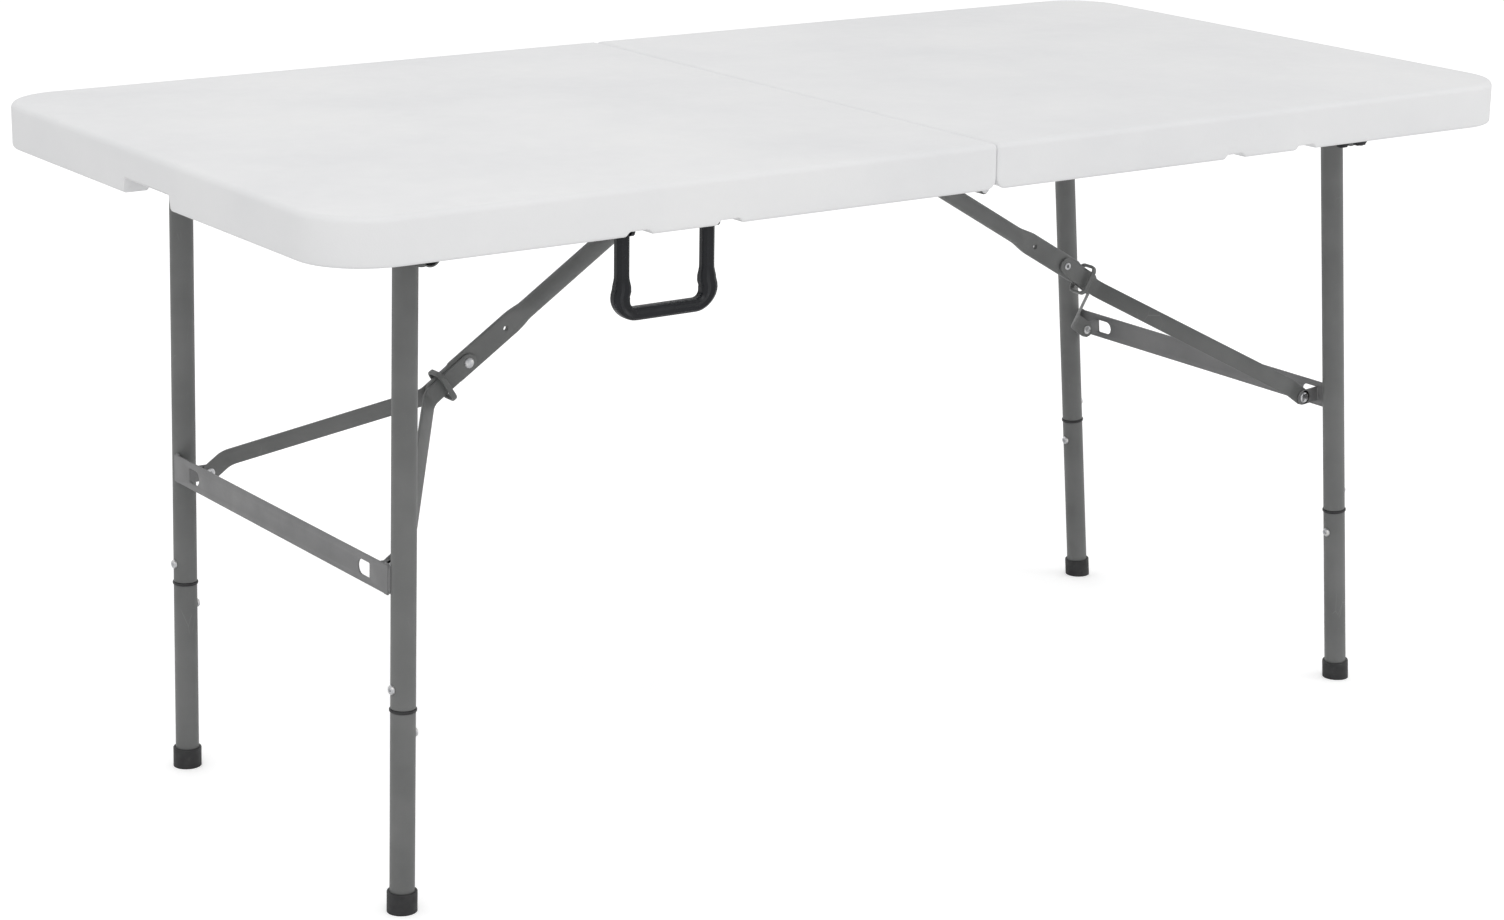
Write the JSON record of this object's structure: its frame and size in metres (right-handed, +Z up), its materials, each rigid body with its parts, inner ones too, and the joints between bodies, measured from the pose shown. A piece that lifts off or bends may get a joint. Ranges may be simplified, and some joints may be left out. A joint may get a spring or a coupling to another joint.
{
  "type": "folding table",
  "caption": "Centre-folding table with a white blow-moulded top, two grey steel leg frames on Y braces with lock rings, a carry handle and an edge latch.",
  "frame": {"origin": "centre of the footprint on the floor, under the seam of the two halves", "axes": "+Z up, +X along the length of the open top, -Y towards the long edge with the carry handle"},
  "size_m": [1.52, 0.76, 0.74],
  "materials": {
    "white_shell": "fine-grained white polyethylene",
    "grey_steel": "satin grey powder coat on steel",
    "bar_steel": "satin grey powder coat on steel plate",
    "zinc": "zinc-plated steel",
    "foot_rubber": "moulded black rubber",
    "black_plastic": "glossy black moulded plastic"
  },
  "bodies": {
    "table_left": {"top_left": "white_shell", "left_rail_front": "grey_steel", "left_rail_rear": "grey_steel", "hinge_leaves_left": "grey_steel", "hinge_pins": "zinc", "left_leg_brackets": "grey_steel", "left_link_bracket": "grey_steel", "left_bracket_screws": "zinc", "handle_brackets": "black_plastic", "latch_catch": "black_plastic"},
    "table_right": {"top_right": "white_shell", "right_rail_front": "grey_steel", "right_rail_rear": "grey_steel", "hinge_leaves_right": "grey_steel", "right_leg_brackets": "grey_steel", "right_link_bracket": "grey_steel", "right_bracket_screws": "zinc", "latch_base": "black_plastic"},
    "carry_handle": {"carry_handle": "black_plastic"},
    "edge_latch": {"latch_hook": "black_plastic"},
    "left_legs": {"left_pivot_tube": "grey_steel", "left_leg_front": "grey_steel", "left_leg_rear": "grey_steel", "left_leg_sleeves": "zinc", "left_leg_collars": "black_plastic", "left_lower_leg_front": "grey_steel", "left_lower_leg_rear": "grey_steel", "left_foot_caps": "foot_rubber", "left_leg_screws": "zinc"},
    "left_brace_link": {"left_upper_link": "grey_steel", "left_link_pivot": "grey_steel"},
    "left_brace_arms": {"left_arm_front": "grey_steel", "left_arm_rear": "grey_steel", "left_knee_rivet": "zinc"},
    "left_cross": {"left_cross_bar": "bar_steel", "left_ear_rivets": "zinc"},
    "left_ring": {"left_lock_ring": "grey_steel"},
    "right_legs": {"right_pivot_tube": "grey_steel", "right_leg_front": "grey_steel", "right_leg_rear": "grey_steel", "right_leg_sleeves": "zinc", "right_leg_collars": "black_plastic", "right_lower_leg_front": "grey_steel", "right_lower_leg_rear": "grey_steel", "right_foot_caps": "foot_rubber", "right_leg_screws": "zinc"},
    "right_brace_link": {"right_upper_link": "grey_steel", "right_link_pivot": "grey_steel"},
    "right_brace_arms": {"right_arm_front": "grey_steel", "right_arm_rear": "grey_steel", "right_knee_rivet": "zinc"},
    "right_cross": {"right_cross_bar": "bar_steel", "right_ear_rivets": "zinc"},
    "right_ring": {"right_lock_ring": "grey_steel"}
  },
  "joints": [
    {"name": "centre_fold", "type": "hinge", "parent": "table_left", "child": "table_right", "pos_m": [0, 0, 0.69], "axis": [0, 1, 0], "range_deg": [0, 80]},
    {"name": "left_leg_fold", "type": "hinge", "parent": "table_left", "child": "left_legs", "pos_m": [-0.6075, 0, 0.676], "axis": [0, 1, 0], "range_deg": [-91.1, 0]},
    {"name": "left_link_swing", "type": "hinge", "parent": "table_left", "child": "left_brace_link", "pos_m": [-0.09, 0, 0.686], "axis": [0, 1, 0], "range_deg": [0, 34.01]},
    {"name": "left_knee", "type": "hinge", "parent": "left_brace_link", "child": "left_brace_arms", "pos_m": [-0.40111, 0, 0.48324], "axis": [0, 1, 0], "range_deg": [-178.23, 0]},
    {"name": "left_cross_pivot", "type": "hinge", "parent": "left_brace_arms", "child": "left_cross", "pos_m": [-0.60486, 0, 0.34489], "axis": [0, 1, 0], "range_deg": [0, 53.14]},
    {"name": "left_ring_slide", "type": "slide", "parent": "left_brace_link", "child": "left_ring", "axis": [0.8378, 0, 0.546], "range_m": [0, 0.3463]},
    {"name": "right_leg_fold", "type": "hinge", "parent": "table_right", "child": "right_legs", "pos_m": [0.6075, 0, 0.676], "axis": [0, -1, 0], "range_deg": [-91.6, 0]},
    {"name": "right_link_swing", "type": "hinge", "parent": "table_right", "child": "right_brace_link", "pos_m": [0.09, 0, 0.686], "axis": [0, -1, 0], "range_deg": [0, 31.35]},
    {"name": "right_knee", "type": "hinge", "parent": "right_brace_link", "child": "right_brace_arms", "pos_m": [0.41859, 0, 0.49178], "axis": [0, -1, 0], "range_deg": [-169.71, 0]},
    {"name": "right_cross_pivot", "type": "hinge", "parent": "right_brace_arms", "child": "right_cross", "pos_m": [0.62796, 0, 0.34551], "axis": [0, -1, 0], "range_deg": [0, 46.78]},
    {"name": "right_ring_slide", "type": "slide", "parent": "right_brace_link", "child": "right_ring", "axis": [-0.8609, 0, 0.5088], "range_m": [0, 0.3482]},
    {"name": "handle_swing", "type": "hinge", "parent": "table_left", "child": "carry_handle", "pos_m": [-0.3805, -0.344, 0.69], "axis": [-1, 0, 0], "range_deg": [0, 90]},
    {"name": "latch_swing", "type": "hinge", "parent": "table_right", "child": "edge_latch", "pos_m": [0.534, -0.346, 0.699], "axis": [1, 0, 0], "range_deg": [0, 25]}
  ],
  "couplings": [
    {"joint": "left_link_swing", "follows": "left_leg_fold", "ratio": -0.37314},
    {"joint": "left_knee", "follows": "left_leg_fold", "ratio": 1.9562},
    {"joint": "left_cross_pivot", "follows": "left_leg_fold", "ratio": -0.58311},
    {"joint": "left_ring_slide", "follows": "left_leg_fold", "m_per_rad": -0.2177},
    {"joint": "right_link_swing", "follows": "right_leg_fold", "ratio": -0.34198},
    {"joint": "right_knee", "follows": "right_leg_fold", "ratio": 1.8525},
    {"joint": "right_cross_pivot", "follows": "right_leg_fold", "ratio": -0.51048},
    {"joint": "right_ring_slide", "follows": "right_leg_fold", "m_per_rad": -0.2177}
  ]
}
